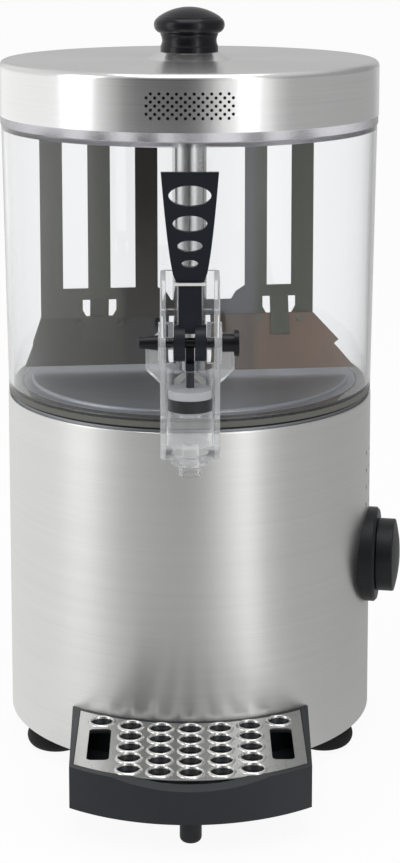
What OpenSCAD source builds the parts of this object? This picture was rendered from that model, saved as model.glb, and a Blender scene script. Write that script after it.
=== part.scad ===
// Hot chocolate dispenser: a heated base, a clear tank with a mixer and a tap, a lid and a drip tray.
// The origin is on the machine's vertical axis at table level. +Z is up, -Y is the tap side.

/* [Casing] */
// Outside diameter of the steel casing
casing_d = 239; // [210:1:290]
// Height of the steel casing
casing_h = 212; // [180:1:260]
// Thickness of the casing sheet
sheet_t = 1.2; // [0.8:0.1:2]
// Width of the rim folded in at the casing's top edge
top_rim_w = 6; // [5:0.5:9]
// Width of the rim folded in at the casing's bottom edge
bottom_rim_w = 11; // [9:0.5:16]
// Thickness of the base plate
base_plate_t = 1.5; // [1:0.1:3]

/* [Feet] */
// Height of the rubber feet
foot_h = 14; // [10:1:25]
// Widest diameter of a rubber foot
foot_d = 39; // [30:1:44]
// Diameter of the circle that the feet stand on
foot_circle_d = 200; // [150:1:200]
// Radius of the screw recess under a foot
foot_recess_r = 4.6; // [4.4:0.1:6]

/* [Heated floor] */
// Height of the tank floor above the casing's top edge
floor_rise = 10.5; // [8:0.5:20]
// Radius of the flat part of the tank floor
floor_r = 104; // [85:1:104]
// Sheet thickness of the floor pan
pan_t = 1.2; // [0.8:0.1:2]
// Thickness of the heat spreader under the floor
spreader_t = 5; // [3:0.5:8]
// Radius of the heating element's tube
element_tube_r = 3.2; // [2.5:0.1:4]
// Radius of the ring that the heating element follows
element_ring_r = 72; // [60:1:85]

/* [Tank] */
// Outside diameter of the tank at its foot
tank_d_bottom = 238.4; // [210:0.2:290]
// Outside diameter of the tank under its lid bead
tank_d_top = 244; // [215:0.2:295]
// Wall thickness of the tank
tank_wall = 3; // [2:0.5:5]
// Height of the tank from its foot to the top of the lid bead
tank_h = 176.4; // [140:0.2:240]
// Height of the bead that carries the lid
bead_h = 6; // [4:0.5:10]
// Height of the tank rim that stands inside the lid
tank_rim_h = 6; // [4:0.5:7]

/* [Lid] */
// Outside diameter of the lid
lid_d = 246; // [217:1:300]
// Height of the lid's skirt, to the flat top
lid_h = 35; // [30:1:60]
// Thickness of the lid sheet
lid_t = 1; // [0.8:0.1:1.5]
// Radius of the lid's top edge
lid_edge_r = 4; // [2:0.5:8]
// Diameter of one vent hole
vent_d = 1.9; // [1.5:0.1:2.2]
// Holes in the longer vent rows
vent_columns = 11; // [5:1:15]
// Number of vent rows
vent_rows = 7; // [3:2:9]

/* [Lid knob] */
// Height of the lid knob
lid_knob_h = 29; // [22:1:40]
// Widest diameter of the lid knob
lid_knob_d = 46; // [36:1:54]

/* [Mixer] */
// Outside diameter of the mixer column
column_d = 22.4; // [20:0.2:30]
// Wall thickness of the mixer column
column_wall = 1.2; // [0.8:0.1:2]
// Diameter of the drive shaft
shaft_d = 8; // [6:0.5:9]
// Width of one mixer tine
tine_w = 14.6; // [8:0.2:20]
// Distance from one mixer tine to the next
tine_pitch = 31; // [26:0.5:36]
// Distance from the axis to the middle of the mixer wings
wing_middle = 59.4; // [50:0.2:64]
// Thickness of the mixer sheet
mixer_t = 1.5; // [1:0.1:3]
// Height of the mixer tines above their band
tine_h = 102; // [60:1:150]
// Angle that the mixer blades lean at
blade_rake = 18; // [0:1:30]
// Angle that the mixer is drawn turned by
mixer_angle = 6; // [0:1:45]
// Gap between the mixer blades and the tank floor
blade_gap = 3; // [1:0.5:6]
// Gap between the mixer blade tips and the tap nut
blade_tip_gap = 1.6; // [1:0.1:6]

/* [Tap] */
// Width and depth of the tap body
tap_w = 35; // [32:1:44]
// Distance from the tank's wall to the tap's centre
tap_reach = 23; // [20:1:36]
// Height of the tap inlet above the tank's foot
inlet_rise = 18.4; // [16:0.2:30]
// Radius of the piston's bore
chamber_r = 14.2; // [12:0.1:14.4]
// Height of the tap body below the inlet
tap_drop = 30; // [24:1:36]
// Height of the tap's pivot above the inlet
pivot_rise = 36; // [34:1:48]
// Height of the tap body above its pivot
tap_cheek_h = 40.5; // [24:0.5:44]
// Radius of the pivot pin
pivot_r = 3; // [2:0.1:4]
// Length of the spout below the tap body
spout_h = 14; // [8:1:30]

/* [Tap lever] */
// Length of the lever grip
grip_h = 65; // [45:1:90]
// Width of the lever grip at its top
grip_w = 34; // [24:1:40]
// Thickness of the lever grip
grip_t = 4.5; // [3:0.5:7]
// Radius of the lever's hub
hub_r = 11; // [10.4:0.1:12]
// Distance from the pivot back to the lifting peg
peg_back = 7.5; // [6:0.1:7.5]

/* [Drip tray] */
// Width of the drip tray at its back
tray_w = 148.8; // [120:0.2:160]
// Distance that the drip tray stands out from the casing
tray_reach = 89; // [70:1:110]
// Height of the drip tray
tray_h = 25.5; // [18:0.5:40]
// Height of the drip tray's underside above the table
tray_rise = 18; // [16:1:24]
// Wall thickness of the drip tray
tray_wall = 2.6; // [2:0.1:4]
// Width of the finger scoop in the tray's front
scoop_w = 94; // [50:1:110]
// Depth of the finger scoop
scoop_h = 5.5; // [3:0.5:9]
// Radius of one drain hole in the grate
drain_r = 6; // [4:0.1:6]
// Distance between the drain columns
drain_pitch_x = 18.2; // [17:0.1:19]
// Distance between the drain rows
drain_pitch_y = 15.7; // [15.7:0.1:18]

/* [Control knob] */
// Height of the control knob above the table
knob_z = 118.5; // [90:0.5:140]
// Angle of the control knob, from the side towards the tap
knob_angle = 10.5; // [0:0.5:30]
// Diameter of the control knob
knob_d = 47; // [30:1:56]
// Diameter of the knob's bezel
bezel_d = 61.4; // [50:0.2:70]
// Distance that the bezel's face stands out from the casing
bezel_out = 6.5; // [5:0.5:12]

/* [Cord gland] */
// Radius of the cord gland's bore
gland_bore_r = 4.1; // [3:0.1:5]
// Height of the cord gland above the table
gland_z = 45; // [35:1:70]

/* [Hidden] */
$fn = 96;

// Clearances
running_gap = 0.05;   // shaft in its bearing
slip_gap = 0.3;       // pieces that lift or slide past each other
fixed_gap = 0.1;      // pieces fixed in each other
seat = 0.1;           // how far a flat piece beds into a round wall

// Heights, from the table up
casing_r = casing_d / 2;
casing_top = foot_h + casing_h;
plate_top = foot_h + base_plate_t;
floor_z = casing_top + floor_rise;
gasket_t = 5.4;
tank_z = casing_top + pan_t + gasket_t;
bead_top = tank_z + tank_h;
lid_top = bead_top + lid_h;
inlet_z = tank_z + inlet_rise;
pivot_z = inlet_z + pivot_rise;
tap_bottom = inlet_z - tap_drop;
tap_top = pivot_z + tap_cheek_h;
spout_z = tap_bottom - spout_h;

// Feet
foot_ring_r = foot_circle_d / 2;
foot_r = foot_d / 2;
foot_angles = [90, 210, 330];
recess_h = foot_h / 2;
screw_seat_z = recess_h + 3;
foot_screw_r = 2;
foot_head_r = 3.8;
foot_head_h = 2.6;

// Base screws, between the feet
base_screw_angles = [30, 150, 270];
base_screw_ring_r = casing_r - sheet_t - bottom_rim_w / 2;
base_screw_r = 1.45;

// Floor pan
pan_shelf_z = floor_z - 1.9;
pan_wall_r = floor_r + 5.2;
pan_flange_r = casing_r - 2.5;
floor_edge_r = 1.8;

// Gasket
gasket_band_r = casing_r - 0.4;
gasket_step_h = 1.6;
gasket_lip_h = 1.6;

// Standpipe and column
column_r = column_d / 2;
column_bore_r = column_r - column_wall;
standpipe_r = column_bore_r - 1.5;
standpipe_bore_r = standpipe_r - 1.2;
shaft_r = shaft_d / 2;
column_top = floor_z + 167.5;
column_bottom = floor_z + blade_gap;
cap_plug_h = 14;
standpipe_top = column_top - cap_plug_h - 2;
drive_square = shaft_d - 1;
bush_h = 10;
bearing_r = shaft_r + running_gap;

// Motor under the floor
spreader_bottom = floor_z - pan_t - spreader_t;
spreader_r = floor_r - 8;
pillar_h = 35;
pillar_ring_r = 50;
pillar_r = 4;
motor_plate_t = 3;
motor_plate_r = 60;
motor_plate_z = spreader_bottom - pillar_h - motor_plate_t;
gearbox_h = 24;
gearbox_r = 32;
motor_can_h = 62;
motor_can_r = 27;

// Tank
tank_slope = (tank_d_top - tank_d_bottom) / 2 / (tank_h - bead_h);
tank_foot_h = 2;
tank_foot_r = pan_wall_r + 1.2;
function tank_r(z) = tank_d_bottom / 2 + tank_slope * (z - tank_z);
bead_r = tank_d_top / 2 + 0.6;

// Tap
tap_y = -(tank_r(inlet_z) + tap_reach);
tap_wall = 3;
tap_nut_t = 5;
spigot_r = 9;
slot_half = tap_w / 2 - tap_wall;
hub_half = 9.6;
blade_half = 2.5;
boss_r = 12.3;
boss_out = 1.2;
chamber_floor = tap_bottom + 5;
block_top = pivot_z - 14;
saddle_w = 53.2;
port_h = 6;
port_w = 13;
seal_h = 7.3;
seal_z = inlet_z - seal_h / 2;
piston_disc_h = 5;
peg_down = peg_back / 2;
peg_r = 1.25;
peg_gap = 0.4;
lift = 8.4;
thumb_r = 5.5;
thumb_flange_r = 8;

// Mixer
band_h = 19.5;
band_z = floor_z + 38;
band_top = band_z + band_h;
blade_top = band_z + 3;
blade_tip_r = tank_r(inlet_z) - tank_wall - tap_nut_t - slip_gap - blade_tip_gap;
tongue_half = 6.1;
slot_w = 4.9;
slot_h = 12;
left_tines = [-1, 0, 1];
right_tines = [-0.5, 0.5];

// Lever
stem_w = 13.8;
stem_t = 7;
grip_z = pivot_z + 36.5;
collar_h = 1.5;

// Lid knob
boss_h = 4.5;
lid_boss_z = lid_top + boss_h;
lid_screw_r = 3;

// Drip tray
tray_top = tray_rise + tray_h;
tray_back_r = casing_r + 0.5;
tray_front_y = -(casing_r + tray_reach);
tray_front_r = casing_r + 1.2;
tray_taper = 0.03;
grate_t = 1;
grate_gap = 0.5;
grate_w = tray_w - 4 * tray_wall - 1.2;
grate_back_r = tray_back_r + 2.8;
grate_front_y = tray_front_y + 4.9;
grate_front_r = tray_front_r - 2.9;
funnel_h = 3.6;
funnel_t = 0.5;
funnel_r = drain_r + 1.3;
drain_rows = 5;
first_row_r = casing_r + 12.2;
tongue_x = 40;
tongue_w = 12;
tongue_z = tray_rise + 6;
tongue_t = 3;

// Control knob, measured outwards from the machine's axis
bezel_face = casing_r + bezel_out;
knob_gap = 0.6;
knob_h = 10.6;
knob_dome_h = 3;
knob_shaft_r = 3;
thermostat_r = 15;
thermostat_face = sqrt(pow(casing_r - sheet_t, 2) - pow(thermostat_r, 2)) + seat;
thermostat_l = 30;
side_vent_pitch = 11.4;

// Cord gland
gland_body_r = 8;
gland_flange_r = 11;
gland_out = 14;
gland_in = 13;

// ---------- helpers ----------

// A rectangle with round corners, centred on the origin
module round_rect(w, h, r) {
    square([w - 2 * r, h], center = true);
    square([w, h - 2 * r], center = true);
    for (x = [-1, 1], y = [-1, 1])
        translate([x * (w / 2 - r), y * (h / 2 - r)]) circle(r = r);
}

// What is cut away to round the outer top corner of a revolved profile
module corner_cut(r) {
    difference() {
        square(r + 1);
        circle(r = r);
    }
}

// Puts its children on a ring at the given angles
module on_ring(r, angles) {
    for (a = angles) rotate(a) translate([r, 0, 0]) children();
}

// Lays its children, which point along +Z, along the knob's axis
module on_knob_axis(distance) {
    translate([0, 0, knob_z]) rotate(-knob_angle) translate([distance, 0, 0]) rotate([0, 90, 0]) children();
}

// A cylinder along X between two values of x
module x_cylinder(r, x0, x1) {
    translate([x0, 0, 0]) rotate([0, 90, 0]) cylinder(r = r, h = x1 - x0);
}

// A cylinder along Y between two values of y
module y_cylinder(r, y0, y1) {
    translate([0, y1, 0]) rotate([90, 0, 0]) cylinder(r = r, h = y1 - y0);
}

// A ring with a bore
module tube(r, bore, h) {
    difference() {
        cylinder(r = r, h = h);
        translate([0, 0, -1]) cylinder(r = bore, h = h + 2);
    }
}

// ---------- base ----------

module casing_profile() {
    difference() {
        union() {
            translate([casing_r - sheet_t, foot_h]) square([sheet_t, casing_h]);
            translate([casing_r - top_rim_w, casing_top - sheet_t]) square([top_rim_w, sheet_t]);
            translate([casing_r - sheet_t - bottom_rim_w, plate_top]) square([bottom_rim_w + sheet_t / 2, sheet_t]);
        }
        translate([casing_r - sheet_t + 0.1, casing_top - sheet_t + 0.1]) corner_cut(sheet_t - 0.1);
    }
}

module casing() {
    color([0.78, 0.78, 0.77]) difference() {
        rotate_extrude() casing_profile();
        on_knob_axis(casing_r - 10) cylinder(r = knob_shaft_r + 2.4, h = 20);
        side_vents();
        translate([0, 0, gland_z]) y_cylinder(gland_body_r + fixed_gap, casing_r - 10, casing_r + 10);
        for (s = [-1, 1])
            translate([s * tongue_x - tongue_w / 2 - slip_gap, -casing_r, tongue_z - slip_gap])
                cube([tongue_w + 2 * slip_gap, 20, tongue_t + 2 * slip_gap]);
        on_ring(base_screw_ring_r, base_screw_angles)
            translate([0, 0, foot_h]) cylinder(r = base_screw_r + running_gap, h = 6);
    }
}

// Three columns of round vents above the control knob
module side_vents() {
    step = asin(side_vent_pitch / casing_r);
    for (i = [0:3], j = [-1:1])
        translate([0, 0, knob_z + bezel_d / 2 + 5.8 + i * side_vent_pitch]) rotate(-knob_angle + j * step)
            x_cylinder(1.7, casing_r - 4, casing_r + 2);
}

module base_plate() {
    color([0.55, 0.56, 0.57]) difference() {
        translate([0, 0, foot_h]) cylinder(r = casing_r - sheet_t - slip_gap, h = base_plate_t);
        on_ring(foot_ring_r, foot_angles)
            translate([0, 0, foot_h - 1]) cylinder(r = foot_screw_r + fixed_gap, h = 5);
        on_ring(base_screw_ring_r, base_screw_angles)
            translate([0, 0, foot_h - 1]) cylinder(r = base_screw_r + running_gap, h = 5);
        for (i = [-3:3])
            translate([i * 12 - 2, -18, foot_h - 1]) cube([4, 36, 5]);
    }
}

module base_screws() {
    color([0.7, 0.7, 0.72]) on_ring(base_screw_ring_r, base_screw_angles) {
        translate([0, 0, foot_h]) cylinder(r = base_screw_r, h = 8);
        translate([0, 0, foot_h - 1.8]) cylinder(r = 2.9, h = 1.8);
    }
}

module foot_profile() {
    translate([0, 0]) square([foot_r - foot_h / 2, foot_h]);
    translate([foot_r - foot_h / 2, foot_h / 2]) circle(r = foot_h / 2);
}

module rubber_feet() {
    color([0.07, 0.07, 0.07]) on_ring(foot_ring_r, foot_angles) difference() {
        rotate_extrude() foot_profile();
        translate([0, 0, -1]) cylinder(r = foot_recess_r, h = recess_h + 1);
        translate([0, 0, recess_h - 1]) cylinder(r = foot_head_r + 0.4, h = screw_seat_z - recess_h + 1);
        cylinder(r = foot_screw_r + fixed_gap, h = foot_h + 1);
    }
}

module foot_screws() {
    color([0.7, 0.7, 0.72]) on_ring(foot_ring_r, foot_angles) {
        translate([0, 0, screw_seat_z - foot_head_h]) cylinder(r = foot_head_r, h = foot_head_h);
        translate([0, 0, screw_seat_z]) cylinder(r = foot_screw_r, h = plate_top - screw_seat_z + 5);
    }
}

module foot_nuts() {
    color([0.7, 0.7, 0.72]) on_ring(foot_ring_r, foot_angles) translate([0, 0, plate_top]) difference() {
        cylinder(r = 4, h = 3.2, $fn = 6);
        translate([0, 0, -1]) cylinder(r = foot_screw_r + running_gap, h = 6);
    }
}

module pan_profile() {
    difference() {
        union() {
            translate([standpipe_r + running_gap, floor_z - pan_t]) square([floor_r - standpipe_r - running_gap, pan_t]);
            translate([floor_r - pan_t, pan_shelf_z - pan_t]) square([pan_t, floor_z - pan_shelf_z + pan_t]);
        }
        translate([floor_r - floor_edge_r, floor_z - floor_edge_r]) corner_cut(floor_edge_r);
    }
    translate([floor_r - pan_t, pan_shelf_z - pan_t]) square([pan_wall_r - floor_r + pan_t, pan_t]);
    translate([pan_wall_r - pan_t, casing_top]) square([pan_t, pan_shelf_z - casing_top]);
    translate([pan_wall_r - pan_t, casing_top]) square([pan_flange_r - pan_wall_r + pan_t, pan_t]);
}

module floor_pan() {
    color([0.72, 0.73, 0.74]) rotate_extrude() pan_profile();
}

module standpipe() {
    color([0.75, 0.75, 0.76]) {
        translate([0, 0, floor_z - pan_t - 1.5]) tube(standpipe_r, standpipe_bore_r, standpipe_top - floor_z + pan_t + 1.5);
        translate([0, 0, floor_z - pan_t - 1.5]) tube(standpipe_r + 6, standpipe_bore_r, 1.5);
    }
}

module gasket_profile() {
    z0 = casing_top + pan_t;
    inner = pan_wall_r + fixed_gap;
    translate([inner, z0]) square([pan_flange_r - inner, gasket_t]);
    translate([inner, z0 + gasket_step_h]) square([gasket_band_r - inner, gasket_t - gasket_step_h]);
}

module tank_gasket() {
    color([0.62, 0.62, 0.6]) rotate_extrude() gasket_profile();
}

module heat_spreader() {
    color([0.8, 0.8, 0.82]) translate([0, 0, spreader_bottom]) tube(spreader_r, 30, spreader_t);
}

module heating_element() {
    z = spreader_bottom - element_tube_r + 0.01;
    color([0.45, 0.45, 0.46]) {
        rotate_extrude() translate([element_ring_r, z]) circle(r = element_tube_r, $fn = 48);
        on_ring(element_ring_r, [82, 98]) translate([0, 0, z - 16]) cylinder(r = element_tube_r - 0.8, h = 16);
    }
}

module limit_thermostat() {
    color([0.85, 0.83, 0.78]) translate([0, 46, spreader_bottom - 9]) {
        cylinder(r = 8, h = 9);
        for (s = [-1, 1]) translate([s * 5 - 0.4, -3, -8]) cube([0.8, 6, 8]);
    }
}

module motor_pillars() {
    color([0.7, 0.7, 0.72]) on_ring(pillar_ring_r, [0, 120, 240])
        translate([0, 0, spreader_bottom - pillar_h]) cylinder(r = pillar_r, h = pillar_h);
}

module motor_plate() {
    color([0.6, 0.6, 0.62]) translate([0, 0, motor_plate_z]) tube(motor_plate_r, 11, motor_plate_t);
}

module gear_motor() {
    color([0.4, 0.42, 0.44]) difference() {
        union() {
            translate([0, 0, motor_plate_z - gearbox_h]) cylinder(r = gearbox_r, h = gearbox_h);
            translate([0, 0, motor_plate_z - 1]) cylinder(r = 10.5, h = motor_plate_t + 6);
            translate([0, 0, motor_plate_z - gearbox_h - motor_can_h]) cylinder(r = motor_can_r, h = motor_can_h + 1);
            translate([0, 0, motor_plate_z - gearbox_h - motor_can_h - 6]) cylinder(r = 8, h = 7);
        }
        translate([0, 0, motor_plate_z - 14]) cylinder(r = bearing_r, h = 40);
    }
}

module shaft_bushes() {
    color([0.75, 0.6, 0.35]) for (z = [floor_z, standpipe_top - bush_h])
        translate([0, 0, z]) tube(standpipe_bore_r, bearing_r, bush_h);
}

module terminal_block() {
    color([0.9, 0.88, 0.8]) translate([-60, 30, plate_top]) difference() {
        cube([48, 20, 16]);
        for (i = [0:3], y = [5, 15])
            translate([7 + i * 11.5, y, 8]) cylinder(r = 2.4, h = 10);
    }
}

module cord_gland() {
    color([0.08, 0.08, 0.08]) translate([0, 0, gland_z]) difference() {
        union() {
            y_cylinder(gland_body_r, casing_r - gland_in, casing_r + gland_out);
            difference() {
                y_cylinder(gland_flange_r, casing_r - 3, casing_r + 4);
                translate([0, 0, -20]) cylinder(r = casing_r, h = 40);
            }
            translate([0, casing_r + gland_out - 2, 0]) rotate([90, 0, 0]) cylinder(r = gland_flange_r, h = 6, $fn = 6);
        }
        y_cylinder(gland_bore_r, casing_r - gland_in - 1, casing_r + gland_out + 1);
    }
}

module gland_nut() {
    wall_y = sqrt(pow(casing_r - sheet_t, 2) - pow(gland_flange_r + 2, 2)) + seat;
    color([0.08, 0.08, 0.08]) translate([0, wall_y, gland_z]) rotate([90, 0, 0]) difference() {
        cylinder(r = gland_flange_r + 2, h = 5, $fn = 6);
        translate([0, 0, -1]) cylinder(r = gland_body_r + running_gap, h = 7);
    }
}

// ---------- control knob ----------

module control_thermostat() {
    color([0.75, 0.75, 0.73]) difference() {
        union() {
            on_knob_axis(thermostat_face - thermostat_l) cylinder(r = thermostat_r, h = thermostat_l);
            on_knob_axis(thermostat_face - 1) cylinder(r = knob_shaft_r + 2, h = casing_r + 3 - thermostat_face);
        }
        on_knob_axis(thermostat_face - 14) cylinder(r = knob_shaft_r + running_gap, h = 40);
    }
}

module knob_bezel() {
    color([0.06, 0.06, 0.07]) difference() {
        union() {
            on_knob_axis(casing_r - 12) cylinder(r = bezel_d / 2, h = bezel_out + 12 - 1.5);
            on_knob_axis(bezel_face - 1.5) cylinder(r1 = bezel_d / 2, r2 = bezel_d / 2 - 1.5, h = 1.5);
        }
        cylinder(r = casing_r, h = casing_top + 10);
        on_knob_axis(casing_r - 14) cylinder(r = knob_shaft_r + 2.4, h = 40);
    }
}

module knob_profile() {
    r = knob_d / 2;
    square([r, knob_h - 1]);
    translate([0, knob_h - 1]) square([r - 1, 1]);
    translate([r - 1, knob_h - 1]) circle(r = 1);
}

// The knob's face swells as a shallow cap of a sphere
module knob_cap() {
    a = knob_d / 2 - 1;
    cap_r = (a * a + knob_dome_h * knob_dome_h) / (2 * knob_dome_h);
    intersection() {
        translate([0, 0, knob_h + knob_dome_h - cap_r]) sphere(r = cap_r);
        translate([0, 0, knob_h - 1]) cylinder(r = a, h = knob_dome_h + 2);
    }
}

module control_knob() {
    color([0.05, 0.05, 0.06]) on_knob_axis(bezel_face + knob_gap) difference() {
        union() {
            rotate_extrude() knob_profile();
            knob_cap();
        }
        translate([0, 0, -1]) cylinder(r = knob_shaft_r + running_gap, h = 9);
        translate([-knob_d / 2 + 2, -0.8, knob_h + knob_dome_h - 1.4]) cube([knob_d / 2 - 4, 1.6, 4]);
    }
}

module knob_shaft() {
    color([0.7, 0.7, 0.72]) on_knob_axis(thermostat_face - 12)
        cylinder(r = knob_shaft_r, h = bezel_face + knob_gap + 8 - thermostat_face + 12);
}

// ---------- mixer ----------

module drive_shaft() {
    z0 = motor_plate_z - 12;
    color([0.72, 0.72, 0.74]) {
        translate([0, 0, z0]) cylinder(r = shaft_r, h = standpipe_top + 1 - z0);
        translate([-drive_square / 2, -drive_square / 2, standpipe_top])
            cube([drive_square, drive_square, cap_plug_h]);
    }
}

module mixer_column() {
    color([0.76, 0.76, 0.77])
        translate([0, 0, column_bottom]) tube(column_r, column_bore_r, column_top - column_bottom);
}

module column_cap() {
    color([0.76, 0.76, 0.77]) difference() {
        union() {
            translate([0, 0, column_top - cap_plug_h]) cylinder(r = column_bore_r - running_gap, h = cap_plug_h + 1);
            translate([0, 0, column_top]) cylinder(r = column_r, h = 2);
            translate([0, 0, column_top + 2]) cylinder(r1 = column_r, r2 = column_r - 2, h = 2);
        }
        translate([-drive_square / 2 - slip_gap / 2, -drive_square / 2 - slip_gap / 2, column_top - cap_plug_h - 1])
            cube([drive_square + slip_gap, drive_square + slip_gap, cap_plug_h - 1]);
    }
}

// One wing seen from the front: a band, its tines, and the window that its tongue is cut from
module wing_outline(tines) {
    outer = wing_middle + tines[len(tines) - 1] * tine_pitch + tine_w / 2;
    inner = wing_middle + tines[0] * tine_pitch - tine_w / 2;
    half = tongue_half + slot_w;
    difference() {
        union() {
            polygon([[column_r - 0.3, band_z], [outer, band_z], [outer, band_top], [inner, band_top],
                [inner - 6, band_top - 4], [inner - 9, band_top - 9], [column_r - 0.3, band_top - 9]]);
            for (t = tines)
                translate([wing_middle + t * tine_pitch - tine_w / 2, band_top - 1]) square([tine_w, tine_h + 1]);
        }
        translate([wing_middle, band_z]) polygon([[-half, slot_h], [-half, 5], [-tongue_half - 1.5, -1],
            [tongue_half + 1.5, -1], [half, 5], [half, slot_h]]);
    }
}

// Where a point of the leaning blade's own section lies: y across its sheet, z up along it
function leaning(y, z) = [y * cos(blade_rake) + z * sin(blade_rake),
    band_z - y * sin(blade_rake) + z * cos(blade_rake)];

// Leans its children about the bottom edge of the band, so that their lower end swings forward
module on_blade() {
    translate([0, 0, band_z]) rotate([-blade_rake, 0, 0]) children();
}

// One wing: upright sheet, a flange behind the blade and a sprung tongue in front of it
module wing(tines) {
    t = mixer_t / 2;
    lap = 3 * t + 0.04;
    rotate([90, 0, 0]) translate([0, 0, -t]) linear_extrude(mixer_t) wing_outline(tines);
    on_blade() rotate([90, 0, 0]) translate([wing_middle, 0, -t]) linear_extrude(mixer_t)
        polygon([[-17, 0.6], [-17, -7], [-10.5, -7], [-10.5, -18], [10.5, -18], [10.5, -7], [17, -7], [17, 0.6]]);
    translate([wing_middle - tongue_half, 0, 0]) rotate([90, 0, 90]) linear_extrude(2 * tongue_half)
        polygon([[t, band_z + slot_h + 0.5], [-t, band_z + slot_h + 0.5], leaning(-lap - mixer_t, 0),
            leaning(-lap - mixer_t, -14), leaning(-lap, -14), leaning(-lap, 0)]);
}

// One blade, clamped between the flange and the tongue. Its tip can have a step in it
module blade(outer, step) {
    h = (band_z - column_bottom) / cos(blade_rake);
    tip_y = (band_z - column_bottom) * tan(blade_rake) + 2 * mixer_t;
    tip = sqrt(pow(blade_tip_r, 2) - pow(tip_y, 2));
    d = tip - outer;
    on_blade() rotate([90, 0, 0]) translate([0, 0, mixer_t / 2 + 0.02]) linear_extrude(mixer_t)
        polygon([[column_r + 3, 0], [outer, 0], [outer + (0.5 + step) * d, -0.5 * h], [outer + 0.5 * d, -0.57 * h],
            [tip, -h], [column_r + 3, -h]]);
}

module left_mixer_wing() {
    color([0.45, 0.46, 0.42]) rotate(180 + mixer_angle) wing(left_tines);
}

module right_mixer_wing() {
    color([0.45, 0.46, 0.42]) rotate(mixer_angle) wing(right_tines);
}

module left_mixer_blade() {
    color([0.4, 0.41, 0.38]) rotate(180 + mixer_angle) blade(wing_middle + tine_pitch + tine_w / 2, 0);
}

module right_mixer_blade() {
    color([0.45, 0.36, 0.3]) rotate(mixer_angle) blade(wing_middle + tine_pitch / 2 + tine_w / 2, 0.12);
}

// Two rivets beside each tongue, through the flange and the blade
module mixer_rivets() {
    y0 = -1.5 * mixer_t - 0.02;
    color([0.75, 0.75, 0.75]) for (a = [0, 180], x = [-13.5, 13.5])
        rotate(a + mixer_angle) on_blade() translate([wing_middle + x, 0, -3.5]) {
            y_cylinder(2.3, y0 - 0.9, y0);
            y_cylinder(2.3, mixer_t / 2, mixer_t / 2 + 0.9);
        }
}

// ---------- tank and tap ----------

module tank_profile() {
    r0 = tank_d_bottom / 2;
    r1 = tank_d_top / 2;
    bead_z = bead_top - bead_h;
    rim_r = bead_r - 1.3;
    polygon([
        [tank_foot_r, tank_z], [r0, tank_z], [r1, bead_z], [bead_r, bead_z + 0.6], [bead_r, bead_top],
        [rim_r, bead_top], [rim_r, bead_top + tank_rim_h], [rim_r - tank_wall + 0.4, bead_top + tank_rim_h],
        [rim_r - tank_wall - 0.2, bead_z], [r1 - tank_wall, bead_z - 3],
        [r0 - tank_wall + tank_slope * tank_foot_h, tank_z + tank_foot_h], [tank_foot_r, tank_z + tank_foot_h]
    ]);
}

module tank() {
    color([0.85, 0.9, 0.92, 0.35]) difference() {
        rotate_extrude() tank_profile();
        translate([0, 0, inlet_z]) y_cylinder(spigot_r + fixed_gap, -tank_d_top / 2 - 5, -tank_d_bottom / 2 + 15);
    }
}

// The octagonal saddle behind the tap, with the straight neck that reaches down to the inlet
module saddle_outline() {
    w = saddle_w / 2;
    n = tap_w / 2;
    c = w - n;
    polygon([[-w, pivot_z - 20], [-n, pivot_z - 20 - c], [-n, inlet_z - 14], [n, inlet_z - 14], [n, pivot_z - 20 - c],
        [w, pivot_z - 20], [w, pivot_z - 6], [n, pivot_z - 6 + c], [n, pivot_z + 16], [-n, pivot_z + 16],
        [-n, pivot_z - 6 + c], [-w, pivot_z - 6]]);
}

module tank_outside() {
    translate([0, 0, tank_z]) cylinder(r1 = tank_d_bottom / 2, r2 = tank_d_top / 2, h = tank_h - bead_h);
}

module tap_shell() {
    half = tap_w / 2;
    difference() {
        union() {
            translate([0, 0, tap_bottom]) linear_extrude(tap_top - tap_bottom) round_rect(tap_w, tap_w, 3);
            translate([0, 0, spout_z]) cylinder(r = 6.7, h = spout_h);
            translate([0, 0, spout_z + spout_h / 2]) cylinder(r = 11.1, h = spout_h / 2 + 1);
        }
        translate([0, 0, chamber_floor]) cylinder(r = chamber_r, h = block_top - chamber_floor + 1);
        translate([-slot_half, -half - 1, block_top]) cube([2 * slot_half, half + slot_half + 1, tap_top]);
        translate([0, 0, spout_z - 1]) cylinder(r = 5, h = 40);
    }
}

module tap_body() {
    half = tap_w / 2;
    color([0.85, 0.9, 0.92, 0.4]) difference() {
        union() {
            translate([0, tap_y, 0]) tap_shell();
            for (s = [0, 180]) translate([0, tap_y, pivot_z]) rotate(s)
                x_cylinder(boss_r, hub_half + 0.4, half + boss_out);
            difference() {
                translate([0, -tank_d_bottom / 2 + 12, 0]) rotate([90, 0, 0])
                    linear_extrude(-tank_d_bottom / 2 + 12 - tap_y - half + 1) saddle_outline();
                tank_outside();
            }
            translate([0, 0, inlet_z]) y_cylinder(spigot_r, tap_y + half - 1, -blade_tip_r - blade_tip_gap);
        }
        translate([0, tap_y, pivot_z]) x_cylinder(pivot_r + running_gap, -tap_w, tap_w);
        for (s = [-1, 1]) translate([s * (port_w - port_h) / 2, 0, inlet_z]) y_cylinder(port_h / 2, tap_y, -20);
        translate([-(port_w - port_h) / 2, tap_y, inlet_z - port_h / 2]) cube([port_w - port_h, -tap_y - 20, port_h]);
        translate([0, tap_y, chamber_floor]) cylinder(r = chamber_r, h = block_top - chamber_floor + 1);
    }
}

module tap_nut() {
    wall_y = -sqrt(pow(tank_r(inlet_z) - tank_wall, 2) - pow(14, 2)) - seat;
    color([0.9, 0.9, 0.88]) translate([0, wall_y, inlet_z]) rotate([-90, 0, 0]) difference() {
        rotate(30) cylinder(r = 14, h = tap_nut_t, $fn = 6);
        translate([0, 0, -1]) cylinder(r = spigot_r + running_gap, h = tap_nut_t + 2);
    }
}

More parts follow.
